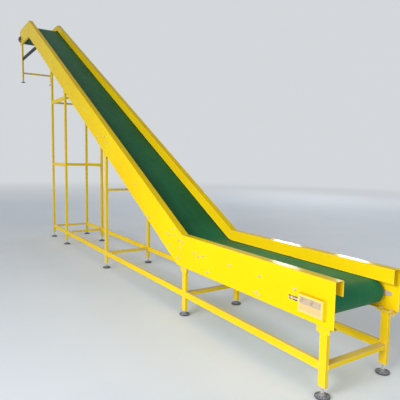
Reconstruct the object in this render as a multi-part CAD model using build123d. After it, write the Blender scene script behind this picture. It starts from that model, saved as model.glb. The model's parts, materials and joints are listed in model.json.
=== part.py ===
from build123d import *
import os
from math import asin, atan2, copysign, cos, hypot, pi, radians, remainder, sin, sqrt, tan

# Inclined belt conveyor on a fixed tube stand: low infeed run, steep run, high discharge run.
# Millimetres. +X points to the infeed (tail) end, -Y is the near side, +Z is up.
# The origin is on the floor, on the belt's centre line, midway between the two tail legs.

# Side plates: folded sheet, one C with a turned-down lip on each side of the belt
SHEET = 2.5
PLATE_GAP = 458.0
PLATE_H = 215.0
TOP_FLANGE = 53.0
LIP = 71.0
BOTTOM_FLANGE = 25.0
FOLD_R = 1.5

# Line of the side plates' top edge, from the tail: lengths along the floor
TAIL_TOP_Z = 539.0
TAIL_OVERHANG = 58.0
TAIL_RUN = 1281.0
INCLINE_RUN = 4497.0
HEAD_RUN = 660.0
INCLINE_DEG = 28.9

# Belt, bed, drums and rollers
BELT_W = 400.0
BELT_T = 4.0
BELT_UNDER_LIP = 2.0
SEAT_GAP = 0.3
WRAP_GAP = 0.5
BED_T = 3.0
DRUM_FACE = 410.0
TAIL_DRUM_R = 57.0
TAIL_DRUM_INSET = 128.0
HEAD_DRUM_R = 62.0
HEAD_DRUM_INSET = 44.0
DRUM_WALL = 6.0
DRUM_END_RECESS = 14.0
TAIL_SHAFT_R = 10.0
HEAD_SHAFT_R = 15.0
ROLLER_R = 25.0
BEND_ROLLER_R = 30.0
ROLLER_FACE = 424.0
AXLE_AF = 11.0
RUN_FIT = 0.05
RETURN_DROP = 150.0
TAIL_ROLLER_X = 508.0
TAIL_ROLLER_PITCH = 455.0
BEND_ROLLER_AFTER = 47.0
BEND_ROLLER_DROP = 163.0
INCLINE_ROLLER_AFTER = 478.0
INCLINE_ROLLER_BEFORE = 572.0
INCLINE_ROLLERS = 4
LOWER_CURVE_R = 150.0
UPPER_CURVE_R = 360.0
BED_FLANGE = 25.0
BED_TO_DRUM = 8.0

# Stand: rectangular tube, legs numbered from the tail
TUBE_WIDE = 40.0
TUBE_THIN = 20.0
TUBE_WALL = 2.0
LEG_1_TO_2 = 1194.0
LEG_2_TO_3 = 1445.0
LEG_3_TO_4 = 1307.0
LEG_4_TO_5 = 574.0
LEG_1_LIFT = 51.0
LEG_2_LIFT = 32.0
LEG_3_LIFT = 49.0
LEG_4_LIFT = 57.0
LEG_5_LIFT = 60.0
RAIL_Z = 143.0
MID_BAR_Z = 945.0
HIGH_BAR_Z = 1720.0
LEG_3_BAR_Z = 740.0
BRACKET_T = 4.0
BRACKET_DROP = 27.0
BRACKET_REACH = 42.0
BRACKET_L = 74.0
BRACKET_CORNER = 3.0

# Levelling feet
PAD_R = 34.0
HEAD_PAD_R = 31.0
PAD_T = 22.0
PAD_CONE = 21.0
STEM_R = 6.0
FOOT_PLATE_T = 3.0

# Head stand, made to rest on a platform at the discharge end
HEAD_LEG_INSET = 100.0
HEAD_LEG_LIFT = 38.0
HEAD_FEET_BELOW = 821.0
HEAD_BAR_RISE = 150.0
HEAD_BRACE_BELOW = 456.0
HEAD_BRACE_WALL = 3.0

# Belt take-up at the tail
SLOT_BEFORE = 81.0
SLOT_AFTER = 147.0
SLOT_H = 21.0
BOX_BEFORE = 86.0
BOX_AFTER = 63.0
BOX_BELOW = 43.5
BOX_H = 85.5
BOX_DEPTH = 24.0
BOX_WALL = 2.5
PANEL_RIM = 5.0
PANEL_T = 1.0
SCREW_R = 6.0
BLOCK_L = 46.0
BLOCK_H = 40.0
BLOCK_T = 16.0

# Head bearings and gear motor
BEARING_AF = 86.0
BEARING_CORNER = 17.0
BEARING_FLANGE_T = 12.0
BEARING_BOSS_R = 31.0
BEARING_BOSS_L = 20.0
BOSS_CLEAR = 1.0
SHAFT_STUB = 6.0
GEARBOX_W = 112.0
GEARBOX_H = 134.0
GEARBOX_T = 96.0
GEARBOX_DROP = 12.0
GEARBOX_CORNER = 14.0
COVER_R = 46.0
COVER_T = 7.0
WORM_CAP_R = 30.0
WORM_CAP_T = 10.0
WORM_DROP = 33.0
MOTOR_R = 62.0
MOTOR_BODY_R = 54.0
MOTOR_L = 168.0
MOTOR_FLANGE_R = 68.0
MOTOR_FLANGE_T = 12.0
COWL_L = 46.0
TERMINAL_L = 78.0
TERMINAL_W = 70.0
TERMINAL_RISE = 34.0
ARM_T = 6.0
ARM_H = 60.0
ARM_LEAF_L = 50.0

# Hold-down skids over the belt's edges at the lower bend
SKID_T = 14.0
SKID_REACH = 130.0
SKID_TO_LIP = 4.0

# Derived sizes
WEB_Y = PLATE_GAP / 2
OUT_Y = WEB_Y + SHEET
LIP_Y = OUT_Y - TOP_FLANGE
SLOPE = radians(INCLINE_DEG)
TAIL_END_X = TAIL_OVERHANG
LOWER_BEND_X = TAIL_END_X - TAIL_RUN
UPPER_BEND_X = LOWER_BEND_X - INCLINE_RUN
HEAD_END_X = UPPER_BEND_X - HEAD_RUN
HEAD_TOP_Z = TAIL_TOP_Z + INCLINE_RUN * tan(SLOPE)
BELT_DROP = LIP + BELT_UNDER_LIP
BED_DROP = BELT_DROP + BELT_T + SEAT_GAP
BED_UNDER = BED_DROP + BED_T
TAIL_DRUM_X = TAIL_END_X - TAIL_DRUM_INSET
TAIL_DRUM_Z = TAIL_TOP_Z - BELT_DROP - BELT_T - WRAP_GAP - TAIL_DRUM_R
HEAD_DRUM_X = HEAD_END_X + HEAD_DRUM_INSET
HEAD_DRUM_Z = HEAD_TOP_Z - BELT_DROP - BELT_T - WRAP_GAP - HEAD_DRUM_R
AXLE_CORNER_R = AXLE_AF / sqrt(3)
LEG_OUT_Y = OUT_Y - BRACKET_T
LEG_Y = LEG_OUT_Y - TUBE_THIN / 2
LEG_STEPS = (0.0, LEG_1_TO_2, LEG_2_TO_3, LEG_3_TO_4, LEG_4_TO_5)
LEG_X = [-sum(LEG_STEPS[: k + 1]) for k in range(len(LEG_STEPS))]
LEG_LIFT = (LEG_1_LIFT, LEG_2_LIFT, LEG_3_LIFT, LEG_4_LIFT, LEG_5_LIFT)
HEAD_LEG_X = HEAD_END_X + HEAD_LEG_INSET
HEAD_FOOT_Z = HEAD_TOP_Z - HEAD_FEET_BELOW
HEAD_LEG_BOTTOM_Z = HEAD_FOOT_Z + HEAD_LEG_LIFT
HEAD_BAR_Z = HEAD_FOOT_Z + HEAD_BAR_RISE
HEAD_BRACE_Z = HEAD_TOP_Z - HEAD_BRACE_BELOW
SIDES = {"near": -1, "far": 1}
STRAIGHT = 1e-6

os.makedirs("parts", exist_ok=True)


def save(name, *solids):
    """Write one node's solids to its own file."""
    flat = [s for part in solids for s in part.solids()]
    whole = flat[0] if len(flat) == 1 else Compound(flat)
    export_step(whole, f"parts/{name}.step")


class Run:
    """One straight stretch of the conveyor, from its tail-side point to its head-side point."""

    def __init__(self, name, tail, head):
        self.name = name
        self.tail = tail
        self.head = head
        self.length = hypot(tail[0] - head[0], tail[1] - head[1])
        self.t = ((tail[0] - head[0]) / self.length, (tail[1] - head[1]) / self.length)
        self.n = (-self.t[1], self.t[0])

    def at_x(self, x, drop):
        """Point of the run at a given x, drop millimetres under the top edge line."""
        s = (x + drop * self.n[0] - self.head[0]) / self.t[0]
        return (x, self.head[1] + s * self.t[1] - drop * self.n[1])

    def plane(self, x=None):
        """Section plane: local x across the belt, local y up from the top edge line."""
        point = self.head if x is None else self.at_x(x, 0.0)
        return Plane((point[0], 0, point[1]), x_dir=(0, 1, 0), z_dir=(self.t[0], 0, self.t[1]))


CORNERS = [
    (TAIL_END_X, TAIL_TOP_Z),
    (LOWER_BEND_X, TAIL_TOP_Z),
    (UPPER_BEND_X, HEAD_TOP_Z),
    (HEAD_END_X, HEAD_TOP_Z),
]
TAIL, INCLINE, HEAD = [
    Run(name, CORNERS[i], CORNERS[i + 1]) for i, name in enumerate(("tail", "incline", "head"))
]
RUNS = [TAIL, INCLINE, HEAD]


def mitred(section, run):
    """Extrude a section along its run and cut it on the bisector of each bend."""
    over = PLATE_H
    i = RUNS.index(run)
    tail_over = over if i > 0 else 0.0
    head_over = over if i < len(RUNS) - 1 else 0.0
    plane = run.plane()
    start = plane.offset(-head_over)
    body = extrude(start * section, run.length + head_over + tail_over)
    for other, corner, keep in ((i - 1, run.tail, Keep.BOTTOM), (i + 1, run.head, Keep.TOP)):
        if 0 <= other < len(RUNS):
            across = (run.t[0] + RUNS[other].t[0], 0, run.t[1] + RUNS[other].t[1])
            body = split(body, Plane((corner[0], 0, corner[1]), z_dir=across), keep=keep)
    return body


def folded(points, side):
    """Sheet profile from the outside corners of its folds, listed from one free edge to the other."""
    outer = FilletPolyline(*[(side * y, z) for y, z, _, _ in points], radius=FOLD_R + SHEET)
    inner = FilletPolyline(*[(side * (y + dy), z + dz) for y, z, dy, dz in points], radius=FOLD_R)
    ends = [Line(outer @ k, inner @ k) for k in (0, 1)]
    return make_face([outer, inner, *ends])


# Columns: outside corner y, z, then the step to the inside corner
PLATE_PROFILE = [
    (LIP_Y, -LIP, SHEET, 0.0),
    (LIP_Y, 0.0, SHEET, -SHEET),
    (OUT_Y, 0.0, -SHEET, -SHEET),
    (OUT_Y, -PLATE_H, -SHEET, SHEET),
    (WEB_Y - BOTTOM_FLANGE, -PLATE_H, 0.0, SHEET),
]


def on_plate(x, z, side):
    """Plane on a side plate's outer face: local x along the conveyor, local z outwards."""
    return Plane((x, side * OUT_Y, z), x_dir=(1, 0, 0), z_dir=(0, side, 0))


def slot(side):
    """Take-up slot through the web, round at both ends."""
    middle = TAIL_DRUM_X + (SLOT_BEFORE - SLOT_AFTER) / 2
    shape = SlotOverall(SLOT_BEFORE + SLOT_AFTER, SLOT_H)
    return extrude(on_plate(middle, TAIL_DRUM_Z, side) * shape, 2 * SHEET, both=True)


def y_cylinder(x, z, radius, y0, y1):
    """Round bar across the belt between two y values."""
    plane = Plane((x, y0, z), x_dir=(1, 0, 0), z_dir=(0, 1, 0))
    return extrude(plane * Circle(radius), y1 - y0)


# Rollers of the return strand, from head to tail. Columns: name, x, run, radius, drop of the axis, inside
BELOW = RETURN_DROP + BELT_T + WRAP_GAP + ROLLER_R
SNUB_X = UPPER_BEND_X - BELOW * tan(SLOPE / 2)
FIRST_INCLINE_X = LOWER_BEND_X - INCLINE_ROLLER_AFTER
INCLINE_PITCH = (INCLINE_RUN - INCLINE_ROLLER_AFTER - INCLINE_ROLLER_BEFORE) / (INCLINE_ROLLERS - 1)
FIRST_TAIL_X = TAIL_END_X - TAIL_ROLLER_X
ROLLERS = [
    ("snub_roller", SNUB_X, HEAD, ROLLER_R, BELOW, False),
    *[
        (f"return_roller_{k + 3}", FIRST_INCLINE_X - k * INCLINE_PITCH, INCLINE, ROLLER_R, BELOW, False)
        for k in range(INCLINE_ROLLERS - 1, -1, -1)
    ],
    ("bend_roller", LOWER_BEND_X - BEND_ROLLER_AFTER, TAIL, BEND_ROLLER_R, BEND_ROLLER_DROP, True),
    ("return_roller_2", FIRST_TAIL_X - TAIL_ROLLER_PITCH, TAIL, ROLLER_R, BELOW, False),
    ("return_roller_1", FIRST_TAIL_X, TAIL, ROLLER_R, BELOW, False),
]
ROLLER_AXES = {name: run.at_x(x, drop) for name, x, run, _, drop, _ in ROLLERS}


def bend_centre(corner_x, corner_z, radius):
    """Centre of the carrying strand's curve at a bend: above the belt if radius is negative."""
    rise = (-radius - BELT_DROP - BELT_T / 2) / cos(SLOPE / 2)
    return (corner_x + rise * sin(SLOPE / 2), corner_z + rise * cos(SLOPE / 2))


def wheels():
    """All that the belt bends over, in its order. Columns: x, z, radius to its face, inside."""
    lower = bend_centre(LOWER_BEND_X, TAIL_TOP_Z, -LOWER_CURVE_R)
    upper = bend_centre(UPPER_BEND_X, HEAD_TOP_Z, UPPER_CURVE_R)
    fixed = [
        (TAIL_DRUM_X, TAIL_DRUM_Z, TAIL_DRUM_R + WRAP_GAP, True),
        (*lower, LOWER_CURVE_R - BELT_T / 2, False),
        (*upper, UPPER_CURVE_R - BELT_T / 2, True),
        (HEAD_DRUM_X, HEAD_DRUM_Z, HEAD_DRUM_R + WRAP_GAP, True),
    ]
    return fixed + [(*ROLLER_AXES[name], r + WRAP_GAP, inside) for name, _, _, r, _, inside in ROLLERS]


def belt_line(depth):
    """Closed outline at a depth inside the belt's outer face, from tangents over all the wheels."""
    rims = []
    for x, z, r, inside in wheels():
        rims.append((x, z, r + BELT_T - depth if inside else -(r + depth)))
    tangents = []
    for (ax, az, ar), (bx, bz, br) in zip(rims, rims[1:] + rims[:1]):
        heading = atan2(bz - az, bx - ax) - asin((br - ar) / hypot(bx - ax, bz - az))
        left = (-sin(heading), cos(heading))
        start = (ax - ar * left[0], az - ar * left[1])
        end = (bx - br * left[0], bz - br * left[1])
        tangents.append((start, end, heading))
    edges = []
    for k, (x, z, r) in enumerate(rims):
        _, arrive, heading_in = tangents[k - 1]
        leave, far_end, heading_out = tangents[k]
        turn = remainder(heading_out - heading_in, 2 * pi)
        if abs(turn) > STRAIGHT:
            if turn * r < 0:
                turn += copysign(2 * pi, r)
            middle = heading_in + turn / 2
            edges.append(ThreePointArc(arrive, (x + r * sin(middle), z - r * cos(middle)), leave))
        edges.append(Line(leave, far_end))
    return make_face(edges)


def along_belt(outer_depth, inner_depth, y0, y1):
    """Closed band between two depths of the belt line, from y0 to y1."""
    ring = belt_line(outer_depth) - belt_line(inner_depth)
    plane = Plane((0, y1, 0), x_dir=(1, 0, 0), z_dir=(0, -1, 0))
    return extrude(plane * ring, y1 - y0)


def lip_fillets():
    """What the hold-down curve takes off the lips at the lower bend, between its two tangent points."""
    x, z = bend_centre(LOWER_BEND_X, TAIL_TOP_Z, -LOWER_CURVE_R)
    r = LOWER_CURVE_R - BELT_T / 2 - BELT_UNDER_LIP
    ends = [(x - r * run.n[0], z - r * run.n[1]) for run in (TAIL, INCLINE)]
    middle = (x - r * sin(SLOPE / 2), z - r * cos(SLOPE / 2))
    below = (x - LIP * sin(SLOPE / 2), z - r - LIP)
    face = make_face([Line(ends[0], below), Line(below, ends[1]), ThreePointArc(ends[1], middle, ends[0])])
    reach = LIP_Y + 2 * SHEET
    plane = Plane((0, reach, 0), x_dir=(1, 0, 0), z_dir=(0, -1, 0))
    return extrude(plane * face, 2 * reach)


def side_plates():
    lips_cut = lip_fillets()
    for side_name, side in SIDES.items():
        for run in RUNS:
            plate = mitred(folded(PLATE_PROFILE, side), run)
            if run is TAIL:
                plate -= slot(side)
            if run is HEAD:
                hole = on_plate(HEAD_DRUM_X, HEAD_DRUM_Z, side) * Circle(HEAD_SHAFT_R + BOSS_CLEAR)
                plate -= extrude(hole, 2 * SHEET, both=True)
            else:
                plate -= lips_cut
            save(f"{run.name}_plate_{side_name}", plate)


def slider_beds():
    """Sheet bed with turned-down edges, following the belt and cut at each bend and short of each drum."""
    depth = BELT_T + SEAT_GAP
    sheet = along_belt(depth, depth + BED_T, -WEB_Y, WEB_Y)
    flanges = [
        along_belt(depth, depth + BED_FLANGE, *sorted((s * WEB_Y, s * (WEB_Y - BED_T)))) for s in (-1, 1)
    ]
    ends = []
    for x, z, r, top_z, way in (
        (TAIL_DRUM_X, TAIL_DRUM_Z, TAIL_DRUM_R, TAIL_TOP_Z, -1),
        (HEAD_DRUM_X, HEAD_DRUM_Z, HEAD_DRUM_R, HEAD_TOP_Z, 1),
    ):
        rise = top_z - BED_UNDER - BED_TO_DRUM - z
        ends.append(x + way * sqrt(r * r - rise * rise))
    between = Pos(sum(ends) / 2, 0, HEAD_TOP_Z / 2) * Box(ends[0] - ends[1], PLATE_GAP, HEAD_TOP_Z * 2)
    band_top = LIP / 2
    band_bottom = RETURN_DROP - BED_FLANGE - 2 * BELT_T
    top_band = Pos(0, -(band_top + band_bottom) / 2) * Rectangle(PLATE_GAP, band_bottom - band_top)
    for run in RUNS:
        save(f"{run.name}_bed", (sheet + flanges) & (mitred(top_band, run) & between))


def belt():
    save("belt", along_belt(0, BELT_T, -BELT_W / 2, BELT_W / 2))


def hold_down_skids():
    """Plastic blocks inside the plates that keep the belt's edges down through the lower bend."""
    bend_z = TAIL_TOP_Z - BELT_DROP
    around = Pos(LOWER_BEND_X, 0, bend_z + LIP) * Box(2 * SKID_REACH, PLATE_GAP, 2 * (LIP + SKID_T))
    inner_y = LIP_Y + SHEET + SKID_TO_LIP
    spans = [sorted((side * inner_y, side * WEB_Y)) for side in SIDES.values()]
    save("hold_down_skids", *[along_belt(-SKID_T - SEAT_GAP, -SEAT_GAP, *span) & around for span in spans])


def turned(points):
    """Solid of revolution about the y axis from (y, radius) points."""
    return revolve(Plane.XY * make_face(Polyline(*[(r, y) for y, r in points], close=True)), Axis.Y)


def drum(radius, bore):
    """Drum with its ends let in by the depth of the recess."""
    h = DRUM_FACE / 2
    rim = radius - DRUM_WALL
    disc = h - DRUM_END_RECESS
    half = [(disc, bore), (disc, rim), (h, rim), (h, radius)]
    return turned(half + [(-y, r) for y, r in reversed(half)])


def drums():
    save("tail_drum", Pos(TAIL_DRUM_X, 0, TAIL_DRUM_Z) * drum(TAIL_DRUM_R, TAIL_SHAFT_R + RUN_FIT))
    near_y = -(OUT_Y + BEARING_FLANGE_T + BEARING_BOSS_L + SHAFT_STUB)
    far_y = OUT_Y + BEARING_FLANGE_T + BEARING_BOSS_L + GEARBOX_T + COVER_T + SHAFT_STUB
    shaft = y_cylinder(0, 0, HEAD_SHAFT_R, near_y, far_y)
    save("head_drum", Pos(HEAD_DRUM_X, 0, HEAD_DRUM_Z) * (drum(HEAD_DRUM_R, HEAD_SHAFT_R) + shaft))
    h = ROLLER_FACE / 2
    bore = AXLE_CORNER_R + RUN_FIT
    for name, _, _, r, _, _ in ROLLERS:
        x, z = ROLLER_AXES[name]
        save(name, Pos(x, 0, z) * turned([(-h, bore), (-h, r), (h, r), (h, bore)]))


def shafts():
    """Hexagonal axle bars in the rollers, and the tail drum's round shaft."""
    hexagon = RegularPolygon(AXLE_CORNER_R, 6)
    starts = [Plane((x, -WEB_Y, z), z_dir=(0, 1, 0)) for x, z in ROLLER_AXES.values()]
    save("roller_axles", *[extrude(start * hexagon, PLATE_GAP) for start in starts])
    end_y = OUT_Y + BLOCK_T
    save("tail_shaft", y_cylinder(TAIL_DRUM_X, TAIL_DRUM_Z, TAIL_SHAFT_R, -end_y, end_y))


def take_up():
    """Shaft blocks over the slots, each under a shallow box with a panel, and screws in the slots."""
    box_l = BOX_BEFORE + BOX_AFTER
    box_x = TAIL_DRUM_X + (BOX_BEFORE - BOX_AFTER) / 2
    box_z = TAIL_DRUM_Z - BOX_BELOW + BOX_H / 2
    screw_x0 = TAIL_DRUM_X - SLOT_AFTER + SCREW_R
    screw_x1 = TAIL_DRUM_X - BLOCK_L / 2
    blocks = []
    boxes = []
    panels = []
    screws = []
    for side in SIDES.values():
        wall = on_plate(box_x, box_z, side)
        window = Rectangle(box_l - 2 * PANEL_RIM, BOX_H - 2 * PANEL_RIM)
        panel = extrude(wall.offset(BOX_DEPTH - PANEL_T) * window, PANEL_T)
        hollow = extrude(wall * Rectangle(box_l - 2 * BOX_WALL, BOX_H - 2 * BOX_WALL), BOX_DEPTH - BOX_WALL)
        start = Plane((screw_x0, side * (OUT_Y - SHEET / 2), TAIL_DRUM_Z), z_dir=(1, 0, 0))
        screws.append(extrude(start * Circle(SCREW_R), screw_x1 - screw_x0))
        passage = extrude(start * Circle(SCREW_R + SEAT_GAP), screw_x1 - screw_x0)
        boxes.append(extrude(wall * Rectangle(box_l, BOX_H), BOX_DEPTH) - hollow - panel - passage)
        panels.append(panel)
        at_drum = on_plate(TAIL_DRUM_X, TAIL_DRUM_Z, side)
        blocks.append(extrude(at_drum * (Rectangle(BLOCK_L, BLOCK_H) - Circle(TAIL_SHAFT_R)), BLOCK_T))
    save("take_up_blocks", *blocks)
    save("take_up_screws", *screws)
    save("take_up_boxes", *boxes)
    save("take_up_panels", *panels)


def tube(start, end, wide_dir, wall=TUBE_WALL):
    """Rectangular tube between two points, its wide side along wide_dir."""
    a, b = Vector(*start), Vector(*end)
    plane = Plane(a, x_dir=wide_dir, z_dir=b - a)
    section = Rectangle(TUBE_WIDE, TUBE_THIN) - Rectangle(TUBE_WIDE - 2 * wall, TUBE_THIN - 2 * wall)
    return extrude(plane * section, (b - a).length)


def run_over(x):
    """The run that passes over a leg at x."""
    return TAIL if x > LOWER_BEND_X else INCLINE if x > UPPER_BEND_X else HEAD


def under_plate(body, run, x):
    """Cut a body off on the line of the brackets' level leaves."""
    point = run.at_x(x, PLATE_H + BRACKET_T)
    return split(body, Plane((point[0], 0, point[1]), z_dir=(run.n[0], 0, run.n[1])), keep=Keep.BOTTOM)


def leg(x, side, bottom_z):
    """One leg, cut on the slope of the plate that it carries."""
    run = run_over(x)
    body = tube((x, side * LEG_Y, bottom_z), (x, side * LEG_Y, run.at_x(x, 0)[1]), (1, 0, 0))
    return under_plate(body, run, x)


def bracket(x, side):
    """Angle bracket under the plate: level leaf on the plate, upright leaf on the leg's face."""
    run = run_over(x)
    inner = OUT_Y - BRACKET_T
    low = -PLATE_H - BRACKET_DROP
    shelf = -PLATE_H - BRACKET_T
    reach = OUT_Y - BRACKET_REACH
    upright = [(OUT_Y, -PLATE_H), (OUT_Y, low), (inner, low)]
    level = [(inner, shelf), (reach, shelf), (reach, -PLATE_H)]
    section = make_face(Polyline(*[(side * y, z) for y, z in upright + level], close=True))
    centre_x = x + (PLATE_H + BRACKET_DROP / 2) * run.n[0]
    body = extrude(run.plane(centre_x) * section, BRACKET_L / 2, both=True)
    up = Vector(run.n[0], 0, run.n[1])
    from_low = body.edges().filter_by(Axis.Y).sort_by(lambda edge: edge.center().dot(up))
    return chamfer(from_low[:2], BRACKET_CORNER)


def between_legs(x_from, x_to, z, **options):
    """The two tubes, one on each side, that tie two leg pairs at one height."""
    half = TUBE_WIDE / 2
    return [
        tube((x_from - half, s * LEG_Y, z), (x_to + half, s * LEG_Y, z), (0, 0, 1), **options)
        for s in SIDES.values()
    ]


def across(x, z):
    """Flat tube from leg to leg of one pair."""
    inner = LEG_Y - TUBE_THIN / 2
    return tube((x, -inner, z), (x, inner, z), (1, 0, 0))


def stand():
    for number, (x, lift) in enumerate(zip(LEG_X, LEG_LIFT), 1):
        save(f"leg_pair_{number}", *[leg(x, s, lift) for s in SIDES.values()])
    save("leg_brackets", *[bracket(x, s) for x in (*LEG_X, HEAD_LEG_X) for s in SIDES.values()])
    rails = [between_legs(a, b, RAIL_Z) for a, b in zip(LEG_X, LEG_X[1:])]
    save("floor_rail_near", *[pair[0] for pair in rails])
    save("floor_rail_far", *[pair[1] for pair in rails])
    save("floor_cross_rails", *[across(x, RAIL_Z) for x in LEG_X])
    x3, x4, x5 = LEG_X[2:]
    for level, z in (("mid", MID_BAR_Z), ("high", HIGH_BAR_Z)):
        save(f"{level}_side_bars", *between_legs(x4, x5, z))
        save(f"{level}_cross_bars", across(x4, z), across(x5, z))
    save("leg_3_cross_bar", across(x3, LEG_3_BAR_Z))


def head_stand():
    """Frame that rests on a platform under the discharge end, braced back to the incline's plates."""
    save("head_legs", *[leg(HEAD_LEG_X, s, HEAD_LEG_BOTTOM_Z) for s in SIDES.values()])
    save("head_cross_bar", across(HEAD_LEG_X, HEAD_BAR_Z))
    x_end = UPPER_BEND_X + HEAD_BRACE_BELOW / tan(SLOPE)
    braces = between_legs(x_end, HEAD_LEG_X, HEAD_BRACE_Z, wall=HEAD_BRACE_WALL)
    save("head_braces", *[under_plate(bar, INCLINE, UPPER_BEND_X) for bar in braces])


def foot_pad(x, y, floor_z, radius):
    """Round coned pad."""
    return Pos(x, y, floor_z + PAD_T / 2) * Cone(radius, radius - PAD_CONE, PAD_T)


def feet():
    """Screw feet under the floor legs and under the two legs of the head stand."""
    floor = [(x, s * LEG_Y, 0.0, lift, PAD_R) for x, lift in zip(LEG_X, LEG_LIFT) for s in SIDES.values()]
    head = [(HEAD_LEG_X, s * LEG_Y, HEAD_FOOT_Z, HEAD_LEG_LIFT, HEAD_PAD_R) for s in SIDES.values()]
    plate = Rectangle(TUBE_WIDE - 2 * TUBE_WALL, TUBE_THIN - 2 * TUBE_WALL)
    for name, places in (("floor", floor), ("head", head)):
        save(f"{name}_foot_pads", *[foot_pad(x, y, z, r) for x, y, z, _, r in places])
        screws = [Pos(x, y, z + PAD_T) * extrude(Circle(STEM_R), lift - PAD_T) for x, y, z, lift, _ in places]
        save(f"{name}_foot_screws", *screws)
        ends = [Pos(x, y, z + lift) * extrude(plate, FOOT_PLATE_T) for x, y, z, lift, _ in places]
        save(f"{name}_leg_end_plates", *ends)


def drive():
    """Flange bearings on both head plates, and the gear motor hung on the shaft's far end."""
    bearings = []
    for side in SIDES.values():
        plane = on_plate(HEAD_DRUM_X, HEAD_DRUM_Z, side)
        bore = Circle(HEAD_SHAFT_R + RUN_FIT)
        square = chamfer(Rectangle(BEARING_AF, BEARING_AF).vertices(), BEARING_CORNER)
        flange = extrude(plane * (square - bore), BEARING_FLANGE_T)
        boss = extrude(plane.offset(BEARING_FLANGE_T) * (Circle(BEARING_BOSS_R) - bore), BEARING_BOSS_L)
        bearings.append(flange + boss)
    save("head_bearings", *bearings)
    y0 = OUT_Y + BEARING_FLANGE_T + BEARING_BOSS_L + SEAT_GAP
    mid_y = y0 + GEARBOX_T / 2
    box_z = HEAD_DRUM_Z - GEARBOX_DROP
    worm_z = box_z - WORM_DROP
    face = Plane((HEAD_DRUM_X, y0, box_z), x_dir=(1, 0, 0), z_dir=(0, 1, 0))
    section = chamfer(Rectangle(GEARBOX_W, GEARBOX_H).vertices(), GEARBOX_CORNER)
    gearbox = extrude(face * section, GEARBOX_T)
    far_y = y0 + GEARBOX_T + COVER_T
    gearbox += y_cylinder(HEAD_DRUM_X, HEAD_DRUM_Z, COVER_R, y0 + GEARBOX_T, far_y)
    cap = Plane((HEAD_DRUM_X - GEARBOX_W / 2 - WORM_CAP_T, mid_y, worm_z), z_dir=(1, 0, 0))
    gearbox += extrude(cap * Circle(WORM_CAP_R), WORM_CAP_T)
    gearbox -= y_cylinder(HEAD_DRUM_X, HEAD_DRUM_Z, HEAD_SHAFT_R + RUN_FIT, y0 - COVER_T, far_y + COVER_T)
    save("gearbox", gearbox)
    motor_x = HEAD_DRUM_X + GEARBOX_W / 2
    end = Plane((motor_x, mid_y, worm_z), x_dir=(0, 1, 0), z_dir=(1, 0, 0))
    motor = extrude(end * Circle(MOTOR_FLANGE_R), MOTOR_FLANGE_T)
    motor += extrude(end.offset(MOTOR_FLANGE_T) * Circle(MOTOR_BODY_R), MOTOR_L)
    motor += extrude(end.offset(MOTOR_FLANGE_T + MOTOR_L) * Circle(MOTOR_R), COWL_L)
    terminal_h = MOTOR_R + TERMINAL_RISE
    terminal_x = motor_x + MOTOR_FLANGE_T + MOTOR_L / 2
    motor += Pos(terminal_x, mid_y, worm_z + terminal_h / 2) * Box(TERMINAL_L, TERMINAL_W, terminal_h)
    save("motor", motor)
    arm_x = HEAD_DRUM_X + BEARING_AF / 2 + ARM_T
    arm_z = box_z - GEARBOX_H / 2 + ARM_H / 2
    arm = Pos(arm_x, (OUT_Y + y0) / 2, arm_z) * Box(ARM_T, y0 - OUT_Y, ARM_H)
    leaf = Pos(arm_x + ARM_LEAF_L / 2, OUT_Y + ARM_T / 2, arm_z) * Box(ARM_LEAF_L, ARM_T, ARM_H)
    save("torque_arm", arm + leaf)


side_plates()
slider_beds()
belt()
hold_down_skids()
drums()
shafts()
take_up()
stand()
head_stand()
feet()
drive()
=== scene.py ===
import json
import random
from math import cos, pi, radians, sin, tan

import bmesh
import bpy
from mathutils import Matrix, Vector


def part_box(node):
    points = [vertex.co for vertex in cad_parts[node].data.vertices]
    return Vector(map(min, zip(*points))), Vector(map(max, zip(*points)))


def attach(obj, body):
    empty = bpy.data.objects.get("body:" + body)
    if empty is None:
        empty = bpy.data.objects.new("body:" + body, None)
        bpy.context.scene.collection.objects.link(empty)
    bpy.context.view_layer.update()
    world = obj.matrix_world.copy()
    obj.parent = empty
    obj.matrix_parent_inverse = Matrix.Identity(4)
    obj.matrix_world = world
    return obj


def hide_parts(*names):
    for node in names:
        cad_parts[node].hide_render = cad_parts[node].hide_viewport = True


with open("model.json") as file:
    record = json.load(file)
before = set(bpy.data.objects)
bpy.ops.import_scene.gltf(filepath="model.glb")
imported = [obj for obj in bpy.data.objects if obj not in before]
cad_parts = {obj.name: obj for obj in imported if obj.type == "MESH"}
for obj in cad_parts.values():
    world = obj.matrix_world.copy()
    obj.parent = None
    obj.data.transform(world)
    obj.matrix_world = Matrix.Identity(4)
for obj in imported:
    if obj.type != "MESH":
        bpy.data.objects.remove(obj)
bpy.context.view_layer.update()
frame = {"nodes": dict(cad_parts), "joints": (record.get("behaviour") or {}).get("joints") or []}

# Inclined belt conveyor: looks, small hardware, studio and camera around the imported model.
# Metres, in the model's own frame: +X to the infeed end, -Y the near side, +Z up.

rng = random.Random(7)

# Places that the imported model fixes
SLOPE = radians(28.9)
OUT_Y = 0.2315  # a side plate's outer face
WEB_Y = 0.229  # and its inner face
SHEET = 0.0025
LEG_Y = 0.2175
TOP_Z = 0.539  # top edge of the tail's side plates
PLATE_H = 0.215
LOWER_BEND_X = -1.223
UPPER_BEND_X = -5.720
HEAD_TOP_Z = TOP_Z + (LOWER_BEND_X - UPPER_BEND_X) * tan(SLOPE)
LEGS = (0.0, -1.194, -2.639, -3.946, -4.520)
HEAD_LEG = -6.280
RAIL_Z = 0.143
RAIL_JOINT_X = -3.343
LOW_BAR_Z = 0.740
MID_BAR_Z = 0.945
HIGH_BAR_Z = 1.720
TUBE_HALF = 0.020  # half of a stand tube's wide side
TUBE_HALF_THIN = 0.010
LEAF = 0.004  # thickness of a leg's bracket
DRUM_FACE = 0.410
SIDES = (-1, 1)
NAMES = {-1: "near", 1: "far"}
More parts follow.
